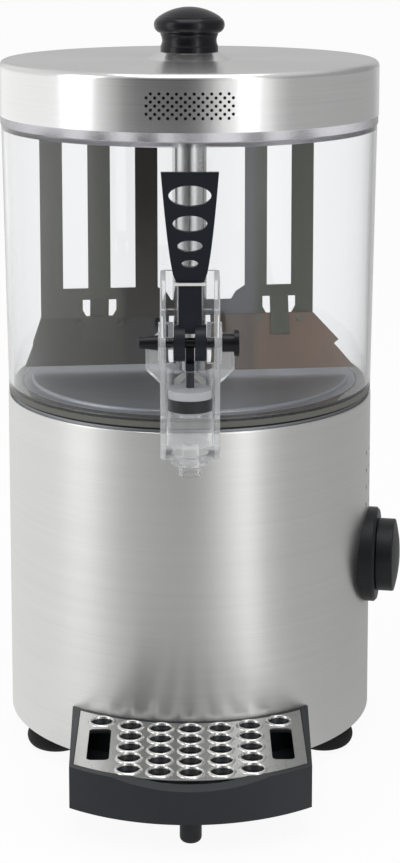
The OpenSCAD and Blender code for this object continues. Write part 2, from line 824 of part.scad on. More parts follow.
module tap_pivot_pin() {
    face = tap_w / 2 + boss_out;
    color([0.05, 0.05, 0.06]) translate([0, tap_y, pivot_z]) {
        x_cylinder(pivot_r, -face - 6.3, face + 1);
        x_cylinder(thumb_r, face, face + 7.2);
        x_cylinder(thumb_flange_r, face + 7.2, face + 10.2);
    }
}

module pivot_end_cap() {
    face = tap_w / 2 + boss_out;
    color([0.05, 0.05, 0.06]) translate([-face, tap_y, pivot_z]) rotate([0, -90, 0]) difference() {
        cylinder(r1 = 4.6, r2 = 3.3, h = 11.2);
        translate([0, 0, -1]) cylinder(r = pivot_r + running_gap, h = 7.3);
    }
}

// ---------- tap lever and piston ----------

// Half the grip's width at a share t of its height
function grip_half(t) = stem_w / 2 + 1.3 + (grip_w - stem_w - 2.6) / 2 * pow(t, 0.6);

// An oval with half-axes a and b, centred at height z
module oval(a, b, z) {
    translate([0, z]) scale([1, b / a]) circle(r = a);
}

module grip_outline() {
    steps = 12;
    difference() {
        polygon(concat(
            [for (i = [0:steps]) [grip_half(i / steps), i / steps * grip_h]],
            [for (i = [steps:-1:0]) [-grip_half(i / steps), i / steps * grip_h]]));
        oval(0.37 * grip_w, 0.095 * grip_h, 0.787 * grip_h);
        oval(0.298 * grip_w, 0.075 * grip_h, 0.534 * grip_h);
        oval(0.22 * grip_w, 0.052 * grip_h, 0.33 * grip_h);
        oval(0.144 * grip_w, 0.035 * grip_h, 0.17 * grip_h);
    }
}

module tap_lever() {
    color([0.05, 0.05, 0.06]) translate([0, tap_y, 0]) difference() {
        union() {
            for (s = [0, 180]) translate([0, 0, pivot_z]) rotate(s) x_cylinder(hub_r, blade_half + 0.4, hub_half);
            translate([-stem_w / 2, -stem_t / 2, pivot_z + 6]) cube([stem_w, stem_t, grip_z - pivot_z - 6 + 0.5]);
            translate([0, grip_t / 2, grip_z]) rotate([90, 0, 0]) linear_extrude(grip_t) grip_outline();
        }
        translate([0, 0, pivot_z]) x_cylinder(pivot_r + running_gap, -tap_w, tap_w);
        translate([0, peg_back, pivot_z - peg_down]) x_cylinder(peg_r, -tap_w, tap_w);
    }
}

module lever_collar() {
    color([0.9, 0.9, 0.9]) translate([0, tap_y, grip_z - collar_h]) difference() {
        linear_extrude(collar_h) round_rect(stem_w + 4.8, stem_t + 3, 1.5);
        translate([0, 0, -1]) linear_extrude(collar_h + 2)
            square([stem_w + fixed_gap, stem_t + fixed_gap], center = true);
    }
}

module lever_peg() {
    color([0.7, 0.7, 0.72]) translate([0, tap_y + peg_back, pivot_z - peg_down])
        x_cylinder(peg_r, -hub_half, hub_half);
}

// The flat link on top of the piston rod. Its slot takes the lever's peg, and it passes behind the pivot pin
module link_outline() {
    reach = sqrt(pow(peg_back, 2) + pow(peg_down, 2));
    slot_r = peg_r + peg_gap;
    y0 = peg_back - 0.6;
    y1 = reach + 0.2;
    top = -peg_down + slot_r + 1.6;
    low = -pivot_r - lift - 1;
    difference() {
        polygon([[-blade_half, low], [-blade_half, low - 4], [y1 + slot_r + 1, low - 4],
            [y1 + slot_r + 1, top], [pivot_r + 0.5, top], [pivot_r + 0.5, low]]);
        translate([y0, -peg_down]) circle(r = slot_r);
        translate([y1, -peg_down]) circle(r = slot_r);
        translate([y0, -peg_down - slot_r]) square([y1 - y0, 2 * slot_r]);
    }
}

module tap_piston() {
    disc_z = seal_z + seal_h;
    rod_top = pivot_z - pivot_r - lift - 2;
    color([0.8, 0.8, 0.8]) translate([0, tap_y, 0]) {
        translate([0, 0, seal_z - 2]) cylinder(r = chamber_r - 3, h = 2);
        translate([0, 0, seal_z - 1]) cylinder(r = 8, h = seal_h + 2);
        translate([0, 0, disc_z]) cylinder(r = chamber_r - 0.6, h = piston_disc_h);
        translate([0, 0, disc_z + 1]) cylinder(r = 2.55, h = rod_top - disc_z - 1);
        translate([-blade_half, 0, pivot_z]) rotate([90, 0, 90]) linear_extrude(2 * blade_half) link_outline();
    }
}

module piston_seal() {
    color([0.04, 0.04, 0.05]) translate([0, tap_y, seal_z]) difference() {
        cylinder(r = chamber_r - slip_gap, h = seal_h);
        translate([0, 0, -1]) cylinder(r = 8 + running_gap, h = seal_h + 2);
    }
}

// ---------- lid ----------

// Everything under the lid's outer skin, drawn in by o
module lid_outline(o, z0) {
    square_h = lid_top - lid_edge_r - z0;
    translate([0, z0]) square([lid_d / 2 - o, square_h]);
    translate([0, z0]) square([lid_d / 2 - lid_edge_r, lid_top - o - z0]);
    translate([lid_d / 2 - lid_edge_r, lid_top - lid_edge_r]) circle(r = lid_edge_r - o);
    polygon([[0, lid_top - o - 1], [28, lid_top - o - 1], [28, lid_top - o], [19.5, lid_boss_z - o], [0, lid_boss_z - o]]);
}

module lid() {
    color([0.8, 0.8, 0.8]) difference() {
        rotate_extrude() difference() {
            lid_outline(0, bead_top);
            lid_outline(lid_t, bead_top - 1);
            translate([0, bead_top]) square([lid_screw_r + fixed_gap, 100]);
        }
        lid_vents();
    }
}

// Staggered rows of small holes at the front of the skirt
module lid_vents() {
    column_step = asin(5.2 / (lid_d / 2));
    row_step = 2.43;
    for (row = [0:vent_rows - 1]) {
        count = row % 2 == 0 ? vent_columns - 1 : vent_columns;
        for (i = [0:count - 1])
            translate([0, 0, bead_top + 16 + (row - (vent_rows - 1) / 2) * row_step])
                rotate(-90 + (i - (count - 1) / 2) * column_step)
                    x_cylinder(vent_d / 2, lid_d / 2 - 3, lid_d / 2 + 2);
    }
}

// Outline of the lid knob: a waisted neck under a broad domed head
module lid_knob_profile() {
    r = lid_knob_d / 2;
    neck = 0.815 * r;
    head_z = 0.6 * lid_knob_h;
    head_r = 5.5;
    dome_r = (pow(r - 3, 2) + pow(0.22 * lid_knob_h, 2)) / (0.44 * lid_knob_h);
    square([neck, 2]);
    difference() {
        translate([0, 1]) square([neck, head_z - 1]);
        translate([neck + 6.6, head_z * 0.42]) circle(r = 7.6);
    }
    polygon([[0, head_z - 6], [neck - 1, head_z - 6], [r - 2.6, head_z - 3], [r - 2.6, head_z + 4], [0, head_z + 4]]);
    translate([r - head_r, head_z]) circle(r = head_r);
    translate([0, head_z]) square([r - head_r, head_r]);
    intersection() {
        translate([0, lid_knob_h - dome_r]) circle(r = dome_r);
        translate([0, head_z]) square([r - 2.8, lid_knob_h - head_z]);
    }
}

module lid_knob() {
    color([0.05, 0.05, 0.06]) translate([0, 0, lid_boss_z]) difference() {
        rotate_extrude() lid_knob_profile();
        translate([0, 0, -1]) cylinder(r = lid_screw_r + running_gap, h = 15);
    }
}

module lid_screw() {
    under = lid_boss_z - lid_t - 1.5;
    color([0.7, 0.7, 0.72]) {
        translate([0, 0, under]) cylinder(r = lid_screw_r, h = lid_boss_z + 12 - under);
        translate([0, 0, under - 3]) cylinder(r = 5.5, h = 3, $fn = 6);
    }
}

module lid_washer() {
    color([0.7, 0.7, 0.72]) translate([0, 0, lid_boss_z - lid_t - 1.5]) tube(9, lid_screw_r + fixed_gap, 1.5);
}

// ---------- drip tray ----------

// An area between the casing side and the tray's front, drawn with the tray's own arcs
module tray_area(half_back, back_r, front_y, front_r, taper) {
    difference() {
        intersection() {
            polygon([[-half_back, -casing_r * 0.66], [half_back, -casing_r * 0.66],
                [half_back - taper * tray_reach * 1.6, -casing_r * 0.66 - tray_reach * 1.6],
                [-half_back + taper * tray_reach * 1.6, -casing_r * 0.66 - tray_reach * 1.6]]);
            translate([0, front_y + front_r]) circle(r = front_r);
        }
        circle(r = back_r);
    }
}

module grate_area(grow) {
    tray_area(grate_w / 2 + grow, grate_back_r - grow, grate_front_y - grow, grate_front_r + grow, 0);
}

module drip_tray() {
    color([0.12, 0.13, 0.14]) difference() {
        union() {
            translate([0, 0, tray_rise]) linear_extrude(tray_h)
                tray_area(tray_w / 2, tray_back_r, tray_front_y, tray_front_r, tray_taper);
            for (s = [-1, 1])
                translate([s * tongue_x - tongue_w / 2, -sqrt(pow(tray_back_r, 2) - pow(tongue_x - tongue_w / 2, 2)) - 0.8, tongue_z])
                    cube([tongue_w, 13, tongue_t]);
        }
        translate([0, 0, tray_top - grate_t]) linear_extrude(5) grate_area(grate_gap);
        translate([0, 0, tray_rise + tray_wall]) linear_extrude(tray_h)
            tray_area(grate_w / 2 - 2.2, grate_back_r + 0.8, grate_front_y - 0.3, grate_front_r + 0.3, 0);
        scoop();
    }
}

// The finger scoop: a plane that falls away from the grate's level to the tray's front face
module scoop() {
    hinge_y = tray_front_y + tray_front_r - sqrt(pow(tray_front_r, 2) - pow(scoop_w / 2, 2));
    angle = atan(scoop_h / (hinge_y - tray_front_y));
    translate([-tray_w / 2, hinge_y, tray_top]) rotate([angle, 0, 0]) translate([0, -40, 0]) cube([tray_w, 40, 30]);
}

module tray_foot_profile() {
    square([3.5, tray_rise]);
    translate([0, 3]) square([6.5, tray_rise - 3]);
    translate([3.5, 3]) circle(r = 3);
}

module tray_foot() {
    color([0.1, 0.1, 0.11]) translate([0, tray_front_y + 18.5, 0]) rotate_extrude() tray_foot_profile();
}

// Places of the round drain holes: straight columns, in rows that bend like the casing
function row_y(x, row) = -sqrt(pow(first_row_r, 2) - x * x) - row * drain_pitch_y;
function drain_places() = concat(
    [for (c = [-2:2], row = [0:drain_rows - 1]) [c * drain_pitch_x, row_y(c * drain_pitch_x, row)]],
    [for (c = [-3, 3]) [c * drain_pitch_x, row_y(c * drain_pitch_x, 0)]]);

// The two long drains outside the columns
module long_drains(grow) {
    length = 2.9 * drain_pitch_y;
    y = row_y(3 * drain_pitch_x, 0) - funnel_r - 3.4 - length / 2;
    for (s = [-1, 1]) translate([s * (3 * drain_pitch_x + 0.4), y])
        round_rect(2 * (drain_r + 0.7 + grow), length + 2 * grow, 3 + grow);
}

module drip_grate() {
    low = tray_top - funnel_h;
    color([0.8, 0.8, 0.8]) difference() {
        union() {
            translate([0, 0, tray_top - grate_t]) linear_extrude(grate_t) grate_area(0);
            for (p = drain_places()) translate([p[0], p[1], low])
                cylinder(r1 = drain_r + funnel_t, r2 = funnel_r + funnel_t, h = funnel_h);
            translate([0, 0, low + 1]) linear_extrude(funnel_h - 1.5) long_drains(0.9);
        }
        for (p = drain_places()) translate([p[0], p[1], low])
            cylinder(r1 = drain_r, r2 = funnel_r, h = funnel_h);
        translate([0, 0, low - 1]) linear_extrude(funnel_h + 5) long_drains(0);
    }
}

casing();
base_plate();
base_screws();
rubber_feet();
foot_screws();
foot_nuts();
floor_pan();
standpipe();
tank_gasket();
heat_spreader();
heating_element();
limit_thermostat();
motor_pillars();
motor_plate();
gear_motor();
shaft_bushes();
terminal_block();
cord_gland();
gland_nut();
control_thermostat();
knob_bezel();
control_knob();
knob_shaft();
drive_shaft();
mixer_column();
column_cap();
left_mixer_wing();
right_mixer_wing();
left_mixer_blade();
right_mixer_blade();
mixer_rivets();
tank();
tap_body();
tap_nut();
tap_pivot_pin();
pivot_end_cap();
tap_lever();
lever_collar();
lever_peg();
tap_piston();
piston_seal();
lid();
lid_knob();
lid_screw();
lid_washer();
drip_tray();
tray_foot();
drip_grate();
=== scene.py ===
import bmesh
import bpy
import math
from mathutils import Matrix, Vector


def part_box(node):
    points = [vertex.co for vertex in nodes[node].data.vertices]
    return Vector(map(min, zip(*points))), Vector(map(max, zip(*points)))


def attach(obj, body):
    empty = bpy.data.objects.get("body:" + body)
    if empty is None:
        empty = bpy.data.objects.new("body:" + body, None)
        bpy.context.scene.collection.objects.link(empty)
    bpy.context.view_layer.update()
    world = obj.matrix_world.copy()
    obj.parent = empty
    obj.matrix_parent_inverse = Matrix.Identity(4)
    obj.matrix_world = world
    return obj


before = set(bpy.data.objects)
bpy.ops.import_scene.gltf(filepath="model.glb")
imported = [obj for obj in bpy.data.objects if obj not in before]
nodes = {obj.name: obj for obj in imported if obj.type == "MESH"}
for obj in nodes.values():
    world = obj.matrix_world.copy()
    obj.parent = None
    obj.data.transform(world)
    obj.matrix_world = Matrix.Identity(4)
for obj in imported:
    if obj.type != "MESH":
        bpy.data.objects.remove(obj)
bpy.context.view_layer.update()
MM = 0.001

# Places that finishes and new pieces line up with, read from the frame in metres
CASING_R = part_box("casing")[1].x
LID_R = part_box("lid")[1].x
LID_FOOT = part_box("lid")[0].z
GASKET_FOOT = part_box("tank_gasket")[0].z
SEAL_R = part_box("piston_seal")[1].x
SEAL_FOOT, SEAL_TOP = (corner.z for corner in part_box("piston_seal"))
SPOUT_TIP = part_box("tap_body")[0].z
GRATE_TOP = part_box("drip_grate")[1].z


# ---------- camera ----------

def set_camera(place, yaw, pitch, lens, shift):
    """A camera before the tap, a little above the lid, that looks slightly down. Its place is in mm."""
    eye = bpy.data.cameras.new("camera")
    eye.lens, eye.sensor_width = lens, 36
    eye.shift_x, eye.shift_y = shift
    holder = bpy.data.objects.new("camera", eye)
    holder.location = Vector(place) * MM
    holder.rotation_euler = (math.pi / 2 - pitch, 0, -yaw)
    bpy.context.scene.collection.objects.link(holder)
    bpy.context.scene.camera = holder


set_camera((-2.1, -1320, 545), yaw=0.010, pitch=0.1366, lens=85.0, shift=(-0.0075, -0.29))


# ---------- shader maths ----------

def operator(operation, swapped=False):
    """A method of Val that adds one Math node. A swapped one has the other value first."""
    def method(self, other):
        pair = (other, self) if swapped else (self, other)
        return self.math(operation, *pair)
    return method


class Val:
    """One shader socket. Arithmetic on it adds Math nodes."""

    def __init__(self, tree, socket):
        self.tree, self.socket = tree, socket

    def output(self, name):
        """Another output of the node that the socket is on."""
        return Val(self.tree, self.socket.node.outputs[name])

    def math(self, operation, *values):
        numbered = {f"i{place}": value for place, value in enumerate(values)}
        return Nodes(self.tree).node("Math", {"operation": operation}, **numbered)

    def abs(self):
        return self.math("ABSOLUTE", self)

    def clamp(self):
        return self.math("MINIMUM", self.math("MAXIMUM", self, 0.0), 1.0)

    __add__ = operator("ADD")
    __radd__ = operator("ADD", swapped=True)
    __sub__ = operator("SUBTRACT")
    __rsub__ = operator("SUBTRACT", swapped=True)
    __mul__ = operator("MULTIPLY")
    __rmul__ = operator("MULTIPLY", swapped=True)
    __truediv__ = operator("DIVIDE")
    __pow__ = operator("POWER")
    above = operator("GREATER_THAN")
    below = operator("LESS_THAN")
    angle = operator("ARCTAN2")


def put(tree, socket, value):
    if isinstance(value, Val):
        tree.links.new(value.socket, socket)
    else:
        socket.default_value = value


def set_stops(ramp, stops):
    """Stops of (bearing in degrees, level) on a colour ramp that runs once round, from -180 to 180."""
    ramp.interpolation = "EASE"
    while len(ramp.elements) < len(stops):
        ramp.elements.new(0.5)
    for element, (bearing, level) in zip(ramp.elements, stops):
        element.position = bearing / 360 + 0.5
        element.color = (level, level, level, 1)


def fade(value, start, end):
    """0 at start, 1 at end, and a straight ramp between them."""
    return ((value - start) / (end - start)).clamp()


def from_axis(x, y):
    """Distance from the machine's upright axis."""
    return (x * x + y * y) ** 0.5


class Nodes:
    """Makes the nodes of one tree."""

    def __init__(self, tree):
        self.tree = tree

    def node(self, kind, settings=None, out=0, **values):
        """A node's output. Its inputs go by name, or as i0, i1 and so on by number."""
        node = self.tree.nodes.new("ShaderNode" + kind)
        for name, value in (settings or {}).items():
            if name == "stops":
                set_stops(node.color_ramp, value)
            else:
                setattr(node, name, value)
        for name, value in values.items():
            key = int(name[1:]) if name[0] == "i" and name[1:].isdigit() else name.replace("_", " ")
            put(self.tree, node.inputs[key], value)
        return Val(self.tree, node.outputs[out])

    def place(self):
        return self.node("TexCoord", out="Object")

    def split(self, vector):
        parts = self.node("SeparateXYZ", i0=vector)
        return [parts.output(axis) for axis in "XYZ"]

    def vector(self, x, y, z):
        return self.node("CombineXYZ", i0=x, i1=y, i2=z)

    def noise(self, vector, scale, detail=2.0, roughness=0.5):
        return self.node("TexNoise", Vector=vector, Scale=scale, Detail=detail, Roughness=roughness)

    def blend(self, mask, low, high):
        """A colour between two. A Mix node has its colours on inputs 6 and 7, and on output 2."""
        return self.node("Mix", {"data_type": "RGBA"}, out=2, i0=mask, i6=low, i7=high)


class Finish(Nodes):
    """A material under construction: its nodes, and the sockets of its surface."""

    def __init__(self, name, colour=(0.8, 0.8, 0.8), **values):
        self.material = bpy.data.materials.new(name)
        self.material.use_nodes = True
        super().__init__(self.material.node_tree)
        principled = self.tree.nodes["Principled BSDF"]
        self.inputs = principled.inputs
        self.shader = Val(self.tree, principled.outputs[0])
        self.material.diffuse_color = (*colour, 1)
        self.set(Base_Color=(*colour, 1), **values)

    def set(self, **values):
        for name, value in values.items():
            put(self.tree, self.inputs[name.replace("_", " ")], value)

    def bump(self, height, distance, strength=1.0):
        self.set(Normal=self.node("Bump", Height=height, Distance=distance, Strength=strength))

    def mix(self, factor, other):
        """Blends another shader over what the material's output shows so far."""
        self.shader = self.node("MixShader", i0=factor, i1=self.shader, i2=other)
        put(self.tree, self.tree.nodes["Material Output"].inputs["Surface"], self.shader)

    def dress(self, *names):
        """Puts the material on the CAD nodes named."""
        for name in names:
            for slot in nodes[name].material_slots:
                slot.material = self.material
        return self


# ---------- metal ----------

# How closely the noise is drawn across the brushing, and along it
HAIR_LINES, HAIR_DRIFT = 2600, 9
DRAWN_LINES, DRAWN_DRIFT = 240, 5


def shade(colour, factor):
    return [min(1, c * factor) for c in colour] + [1]


def brushed(name, colour, roughness, grip=0.8):
    """Sheet brushed in circles round the machine's axis, so that reflections draw out up and down."""
    f = Finish(name, colour, Metallic=1.0, Anisotropic=grip, Anisotropic_Rotation=0.25)
    x, y, z = f.split(f.place())
    r = from_axis(x, y)
    hair = f.noise(f.vector((r + z) * HAIR_LINES, x * HAIR_DRIFT, y * HAIR_DRIFT), 1.0, 2.0)
    drawn = f.noise(f.vector((r + z) * DRAWN_LINES, x * DRAWN_DRIFT, y * DRAWN_DRIFT), 1.0, 2.0)
    grain = hair * 0.6 + drawn * 0.4
    f.tone = f.blend(((grain - 0.5) * 1.6 + 0.5).clamp(), shade(colour, 0.93), shade(colour, 1.05))
    f.set(Base_Color=f.tone, Roughness=roughness + (grain - 0.5) * 0.12)
    f.bump(hair, 0.00001, 0.25)
    return f


def shade_lid_inside(f):
    """Painted shade: behind the vents the lid's inside is painted near black and not metallic, for the shade
    inside the lid.
    """
    x, y, z = f.split(f.place())
    behind_vents = y.below(-100 * MM) * x.abs().below(45 * MM) * z.below(LID_FOOT + 29.5 * MM)
    inside = from_axis(x, y).below(LID_R - 0.1 * MM) * behind_vents
    f.set(Base_Color=f.blend(inside, f.tone, (0.012, 0.012, 0.012, 1)), Metallic=1 - inside)


brushed("casing_steel", (0.80, 0.80, 0.785), 0.36).dress("casing")
# The lid's inside, behind its vents, carries painted shade.
shade_lid_inside(brushed("lid_steel", (0.86, 0.86, 0.855), 0.22, 0.6).dress("lid"))
# Painted shade and reflection: the floor pan's brushed steel is given a dark bluish colour, far darker than
# the casing's, for the dark mixer that it mirrors in the tank.
brushed("floor_steel_shaded", (0.36, 0.375, 0.41), 0.45, 0.3).dress("floor_pan", "standpipe")


def pressed(name, colour, roughness, speckle=0.08):
    """Small parts of plain or plated metal, with faint mottling."""
    f = Finish(name, colour, Metallic=1.0)
    spots = f.noise(f.place(), 420, 3.0)
    f.tone = f.blend(spots, shade(colour, 1 - speckle * 2), [*colour, 1])
    f.set(Base_Color=f.tone, Roughness=roughness + (spots - 0.5) * 0.15)
    f.bump(spots, 0.00003, 0.3)
    return f


def darken_drains(f):
    """Inside the drain funnels the grate is in the tray's shadow."""
    z = f.split(f.place())[2]
    depth = fade(z, GRATE_TOP - 0.2 * MM, GRATE_TOP - 0.914 * MM)
    f.set(Base_Color=f.blend(depth, f.tone, (0.03, 0.032, 0.035, 1)), Metallic=1 - depth * 0.8)


darken_drains(pressed("grate_steel", (0.56, 0.56, 0.555), 0.3, 0.05).dress("drip_grate"))
pressed("zinc_plate", (0.62, 0.64, 0.67), 0.33).dress(
    "base_screws", "foot_screws", "foot_nuts", "motor_pillars", "motor_plate", "knob_shaft",
    "drive_shaft", "lever_peg", "lid_screw", "lid_washer", "control_thermostat", "base_plate")
pressed("column_steel", (0.72, 0.72, 0.72), 0.2, 0.03).dress("mixer_column", "column_cap")
pressed("element_sheath", (0.35, 0.36, 0.36), 0.45).dress("heating_element")
pressed("spreader_metal", (0.7, 0.7, 0.72), 0.5, 0.12).dress("heat_spreader")
pressed("bush_bronze", (0.62, 0.43, 0.22), 0.4).dress("shaft_bushes")

# How far from the axis the painted reflection on the mixer's sheet starts, and where it is full
HUB_START, HUB_END = 47 * MM, 40.75 * MM


def mixer_sheet(name, colour, reflection_colour):
    """Dull sheet of the mixer, rubbed up and down. Near the column its colour blends to a painted reflection.
    """
    f = Finish(name, colour, Metallic=0.3, Specular_IOR_Level=0.3)
    x, y, z = f.split(f.place())
    lines = f.noise(f.vector(x * 900, y * 900, z * 12), 1.0, 2.0)
    cloud = f.noise(f.place(), 14, 2.0)
    tone = f.blend(lines * 0.45 + cloud * 0.55, shade(colour, 0.75), shade(colour, 1.25))
    hub_reflection = fade(from_axis(x, y), HUB_START, HUB_END)
    f.set(Base_Color=f.blend(hub_reflection, tone, (*reflection_colour, 1)), Roughness=0.42 + (lines - 0.5) * 0.2)
    f.bump(lines, 0.00003, 0.3)
    return f


WING_OLIVE = (0.085, 0.09, 0.068)
# Each sheet's second colour is its painted reflection near the column: near black on the left wing, pale blue
# grey on the right wing, darker tones on the blades.
mixer_sheet("left_wing_sheet", WING_OLIVE, (0.022, 0.018, 0.014)).dress("left_mixer_wing")
mixer_sheet("right_wing_sheet", WING_OLIVE, (0.12, 0.13, 0.14)).dress("right_mixer_wing")
mixer_sheet("left_blade_sheet", (0.075, 0.08, 0.062), (0.05, 0.05, 0.045)).dress("left_mixer_blade")
mixer_sheet("right_blade_sheet", (0.19, 0.13, 0.095), (0.10, 0.075, 0.06)).dress("right_mixer_blade")
pressed("rivet_steel", (0.16, 0.165, 0.14), 0.3).dress("mixer_rivets")


# ---------- plastic and rubber ----------

def moulded(name, colour, roughness, grain, depth):
    """Opaque moulded plastic or rubber with a fine grain."""
    f = Finish(name, colour, IOR=1.5, Specular_IOR_Level=0.28)
    skin = f.noise(f.place(), grain, 3.0)
    cloud = f.noise(f.place(), 30, 2.0)
    tone = f.blend(cloud, shade(colour, 0.8), shade(colour, 1.15))
    f.set(Base_Color=tone, Roughness=roughness + (cloud - 0.5) * 0.12)
    f.bump(skin, depth)
    return f


SLATE = (0.010, 0.013, 0.019)
NYLON_GREY = (0.42, 0.43, 0.44)
SILICONE = (0.135, 0.135, 0.12)
LINK_HALF = 3.2 * MM


def blacken_link(f):
    """The piston's disc is pale nylon, and the flat link and rod on it are slate like the lever."""
    x, y, z = f.split(f.place())
    link = x.abs().below(LINK_HALF) * z.above(SEAL_TOP + 5.45 * MM)
    f.set(Base_Color=f.blend(link, (*NYLON_GREY, 1), (*SLATE, 1)))


def paint_gasket_shadow(f):
    """Painted shadow: the silicone ring's foot, where it meets the casing's edge, is painted black for the
    shadow gap there.
    """
    z = f.split(f.place())[2]
    foot = fade(z, GASKET_FOOT + 2 * MM, GASKET_FOOT + 1.6 * MM)
    f.set(Base_Color=f.blend(foot, (*SILICONE, 1), (0.004, 0.004, 0.004, 1)))


moulded("gloss_black", (0.008, 0.008, 0.011), 0.2, 900, 0.00001).dress(
    "lid_knob", "tap_pivot_pin", "pivot_end_cap")
moulded("satin_black", (0.010, 0.011, 0.013), 0.38, 1500, 0.00003).dress(
    "control_knob", "knob_bezel", "cord_gland", "gland_nut")
moulded("lever_slate", SLATE, 0.34, 1500, 0.00002).dress("tap_lever")
blacken_link(moulded("piston_nylon", NYLON_GREY, 0.35, 900, 0.00002).dress("tap_piston"))
moulded("tray_black", (0.024, 0.027, 0.031), 0.42, 1500, 0.00004).dress("drip_tray", "tray_foot")
moulded("foot_rubber", (0.010, 0.010, 0.011), 0.7, 1200, 0.00006).dress("rubber_feet")
moulded("seal_rubber", (0.012, 0.012, 0.014), 0.5, 900, 0.00002).dress("piston_seal")
paint_gasket_shadow(moulded("gasket_silicone", SILICONE, 0.4, 700, 0.00003).dress("tank_gasket"))
moulded("white_nylon", (0.75, 0.75, 0.72), 0.4, 800, 0.00002).dress(
    "tap_nut", "lever_collar", "limit_thermostat", "terminal_block")
moulded("motor_paint", (0.1, 0.11, 0.12), 0.45, 700, 0.00005).dress("gear_motor")


def clear(name, tint, roughness, haze, ior=1.49, coat=0.0):
    """Clear polycarbonate. Light from lamps passes straight through it."""
    f = Finish(name, tint, IOR=ior, Transmission_Weight=1.0, Coat_Weight=coat, Coat_Roughness=0.04)
    scratches = f.noise(f.place(), 60, 4.0)
    f.haze = roughness + (scratches - 0.5).abs() * haze
    f.set(Roughness=f.haze)
    f.mix(f.node("LightPath", out="Is Shadow Ray"), f.node("BsdfTransparent", Color=(*tint, 1)))
    return f


TANK_TINT = (0.975, 0.98, 0.985)
BEAD_H = 6.2 * MM


def frost_bead(f):
    """The thick bead at the tank's top, just under the lid, is frosted and looks lilac grey."""
    z = f.split(f.place())[2]
    band = fade(z, LID_FOOT - BEAD_H, LID_FOOT - BEAD_H + 0.25 * MM)
    f.set(Roughness=f.haze + band * 0.25, Base_Color=f.blend(band, (*TANK_TINT, 1), (0.80, 0.79, 0.83, 1)))


# The tap's chamber, and where its spout ends and the block above it starts
CHAMBER_R, CHAMBER_TOP = SEAL_R + 0.3 * MM, SEAL_FOOT - 0.85 * MM
BLOCK_FOOT = SPOUT_TIP + 5.5 * MM


def paint_block_reflection(f):
    """The tap's block shows its works without bending them. A pale matt layer is mixed over it: painted
    reflection at grazing angles and on its cheeks, and a faint mottled pale layer over its chamber.
    """
    x, y, z = f.split(f.place())
    swirl = f.noise(f.vector(x * 260, y * 260, z * 40), 1.0, 3.0)
    edge = f.node("LayerWeight", out="Facing", Blend=0.35)
    cheek = fade(x.abs(), CHAMBER_R, CHAMBER_R + 0.556 * MM) * z.above(BLOCK_FOOT)
    chamber = z.below(CHAMBER_TOP) * z.above(BLOCK_FOOT) * (1 - cheek)
    # Painted reflection: pale at grazing angles and on the cheeks, faint over the chamber.
    painted_reflection = edge ** 3.0 * 0.5 + cheek * (0.16 + swirl * 0.12) + chamber * (0.02 + swirl * 0.08)
    f.mix(painted_reflection.clamp(), f.node("BsdfDiffuse", Color=(0.90, 0.91, 0.92, 1)))


frost_bead(clear("tank_clear", TANK_TINT, 0.003, 0.012).dress("tank"))
paint_block_reflection(clear("tap_clear", (0.955, 0.96, 0.965), 0.01, 0.02, ior=1.05, coat=0.3).dress("tap_body"))


# ---------- new pieces ----------

def start(name, primitive, **settings):
    """Adds a primitive by itself and enters edit mode."""
    bpy.ops.object.select_all(action="DESELECT")
    primitive(**settings)
    piece = bpy.context.active_object
    piece.name = name
    bpy.ops.object.mode_set(mode="EDIT")
    return piece


def pick(piece, wanted):
    """Selects the faces whose centre and normal, on the piece's own axes, are wanted."""
    bpy.ops.mesh.select_mode(type="FACE")
    bpy.ops.mesh.select_all(action="DESELECT")
    mesh = bmesh.from_edit_mesh(piece.data)
    for face in mesh.faces:
        face.select_set(wanted(face.calc_center_median(), face.normal))
    bmesh.update_edit_mesh(piece.data)


def close(piece, angle=35):
    """Leaves edit mode with the place in the mesh, and smooths what turns by less than the angle."""
    bpy.ops.object.mode_set(mode="OBJECT")
    bpy.ops.object.transform_apply(location=True, rotation=True, scale=True)
    bpy.ops.object.shade_smooth_by_angle(angle=math.radians(angle))
    return piece


def wear(piece, finish, body):
    """Gives a new piece its material and the body it rides on."""
    piece.data.materials.clear()
    piece.data.materials.append(finish.material)
    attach(piece, body)


# The grate's round drains: straight columns, in rows that bend like the casing
DRAIN_PITCH_X, DRAIN_PITCH_Y, DRAIN_ROWS = 18.2 * MM, 15.7 * MM, 5
FIRST_ROW_R = CASING_R + 12.2 * MM
RIM_BASE_R, RIM_INNER_R, RIM_DEPTH = 8.6 * MM, 7.2 * MM, 0.6 * MM
# The lip's steps from its base to its inside, in mm: how far in, and how far up
RIM_STEPS = [(0.5, 0.45), (0.5, 0.5), (0.5, 0.06), (0.35, -0.3), (0.15, -1.5)]


def row_y(x, row):
    return -math.sqrt(FIRST_ROW_R ** 2 - x * x) - row * DRAIN_PITCH_Y


def drain_places():
    columns = [(c * DRAIN_PITCH_X, row) for c in range(-2, 3) for row in range(DRAIN_ROWS)]
    corners = [(c * DRAIN_PITCH_X, 0) for c in (-3, 3)]
    return [(x, row_y(x, row)) for x, row in columns + corners]


def drain_rim(x, y):
    """The raised lip that is pressed up round one drain hole."""
    rim = start("drain_rim", bpy.ops.mesh.primitive_cylinder_add, vertices=28, radius=RIM_BASE_R,
        depth=RIM_DEPTH, location=(x, y, GRATE_TOP - RIM_DEPTH / 2))
    pick(rim, lambda centre, normal: normal.z > 0.9)
    for inward, up in RIM_STEPS:
        bpy.ops.mesh.inset(thickness=inward * MM, depth=up * MM)
    bpy.ops.mesh.delete(type="FACE")
    pick(rim, lambda centre, normal: normal.z < -0.9 and centre.xy.length < 0.1 * MM)
    bpy.ops.mesh.inset(thickness=RIM_BASE_R - RIM_INNER_R)
    bpy.ops.mesh.delete(type="FACE")
    bpy.ops.mesh.select_mode(type="EDGE")
    bpy.ops.mesh.select_all(action="DESELECT")
    bpy.ops.mesh.select_non_manifold()
    bpy.ops.mesh.bridge_edge_loops()
    return close(rim, 60)


